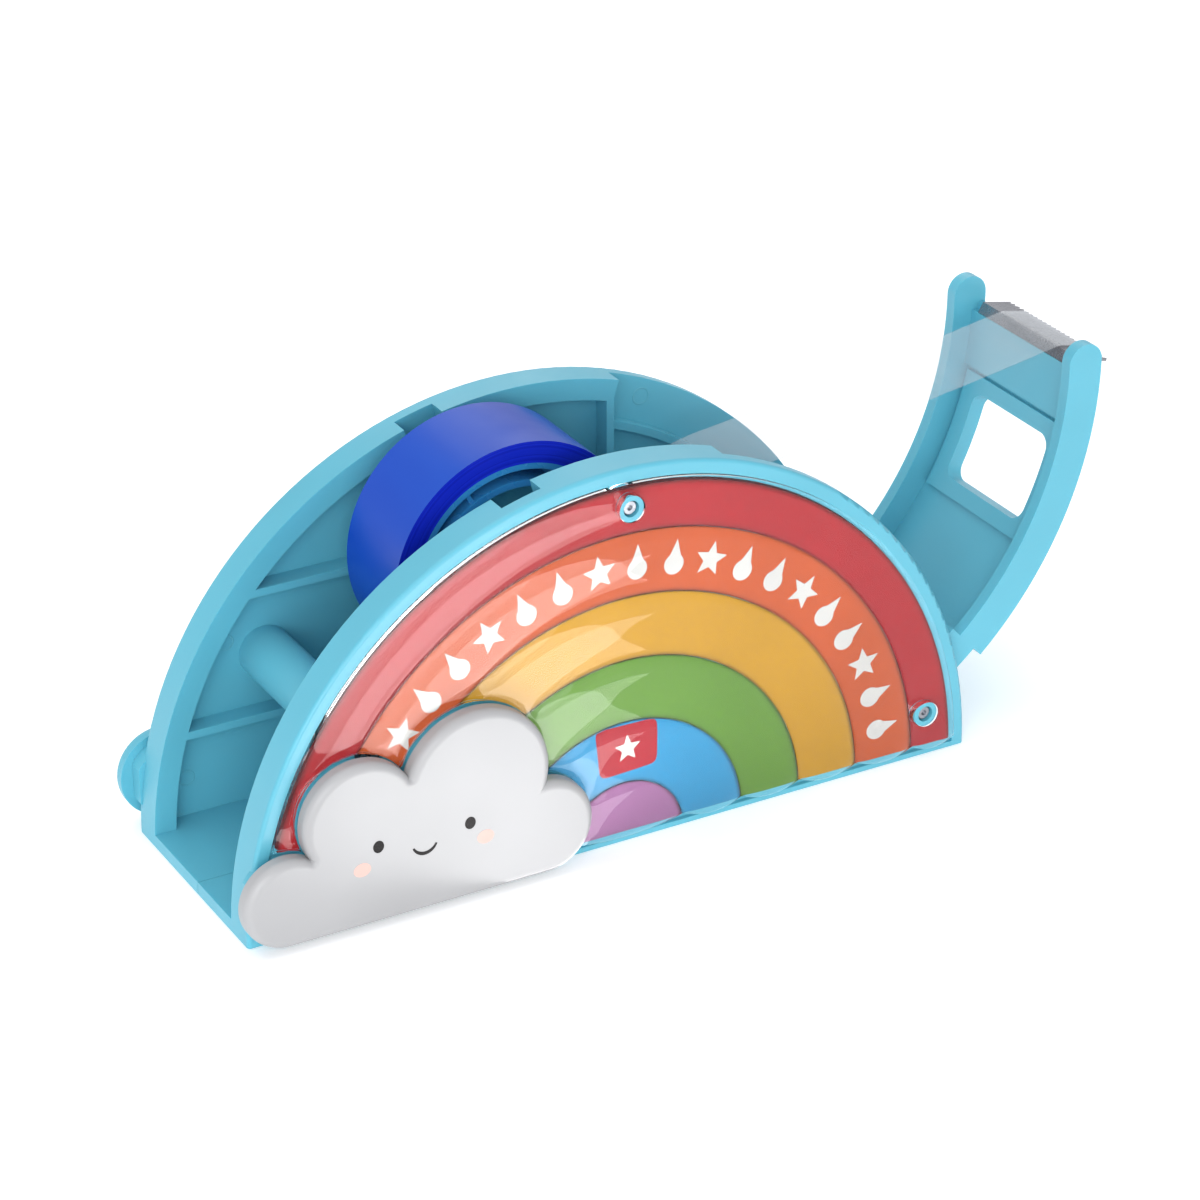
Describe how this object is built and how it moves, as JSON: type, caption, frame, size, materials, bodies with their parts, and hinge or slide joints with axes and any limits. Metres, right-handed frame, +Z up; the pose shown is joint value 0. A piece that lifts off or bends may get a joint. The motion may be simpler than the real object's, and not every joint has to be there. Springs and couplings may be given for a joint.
{
  "type": "tape dispenser",
  "caption": "Half-disc desk tape dispenser with rainbow bands under a clear cover, a cloud on each side, a drop-in tape roll and a folding cutter arm.",
  "frame": {"origin": "centre of the half disc on its flat base, midway between the two faces", "axes": "+X along the length towards the cutter arm, +Y from the front face to the rear face, +Z up"},
  "size_m": [0.1493, 0.0456, 0.0618],
  "materials": {
    "body_plastic": "satin moulded light blue",
    "arm_plastic": "satin moulded light blue",
    "spindle_plastic": "satin moulded light blue",
    "clear_plastic": "clear moulded cover",
    "white_plastic": "satin white",
    "purple_print": "fine grained purple",
    "blue_print": "fine grained blue",
    "green_print": "fine grained green",
    "yellow_print": "fine grained yellow",
    "orange_print": "fine grained orange",
    "red_print": "fine grained red",
    "screw_steel": "plated steel",
    "blade_steel": "grey cutter steel",
    "core_plastic": "translucent blue",
    "wound_tape": "royal blue, glossy",
    "clear_film": "clear film"
  },
  "bodies": {
    "root": {"front_shell": "body_plastic", "rear_shell": "body_plastic", "front_purple_band": "purple_print", "front_blue_band": "blue_print", "front_green_band": "green_print", "front_yellow_band": "yellow_print", "front_orange_band": "orange_print", "front_red_band": "red_print", "front_clear_cover": "clear_plastic", "front_cloud": "white_plastic", "rear_purple_band": "purple_print", "rear_blue_band": "blue_print", "rear_green_band": "green_print", "rear_yellow_band": "yellow_print", "rear_orange_band": "orange_print", "rear_red_band": "red_print", "rear_clear_cover": "clear_plastic", "rear_cloud": "body_plastic", "case_screws": "screw_steel", "cover_screws": "screw_steel", "tape_strip": "clear_film"},
    "arm": {"arm": "arm_plastic", "blade": "blade_steel"},
    "spindle": {"spindle": "spindle_plastic"},
    "roll": {"tape_core": "core_plastic", "tape_winding": "wound_tape"}
  },
  "joints": [
    {"name": "arm_fold", "type": "hinge", "parent": "root", "child": "arm", "pos_m": [0.0534, 0, 0.0113], "axis": [0, -1, 0], "range_deg": [0, 69], "deforming": ["tape_strip"]},
    {"name": "spindle_lift", "type": "slide", "parent": "root", "child": "spindle", "axis": [-0.2487, 0, 0.9686], "range_m": [0, 0.04]},
    {"name": "roll_spin", "type": "hinge", "parent": "spindle", "child": "roll", "pos_m": [-0.01087, 0, 0.04233], "axis": [0, 1, 0], "continuous": true}
  ]
}
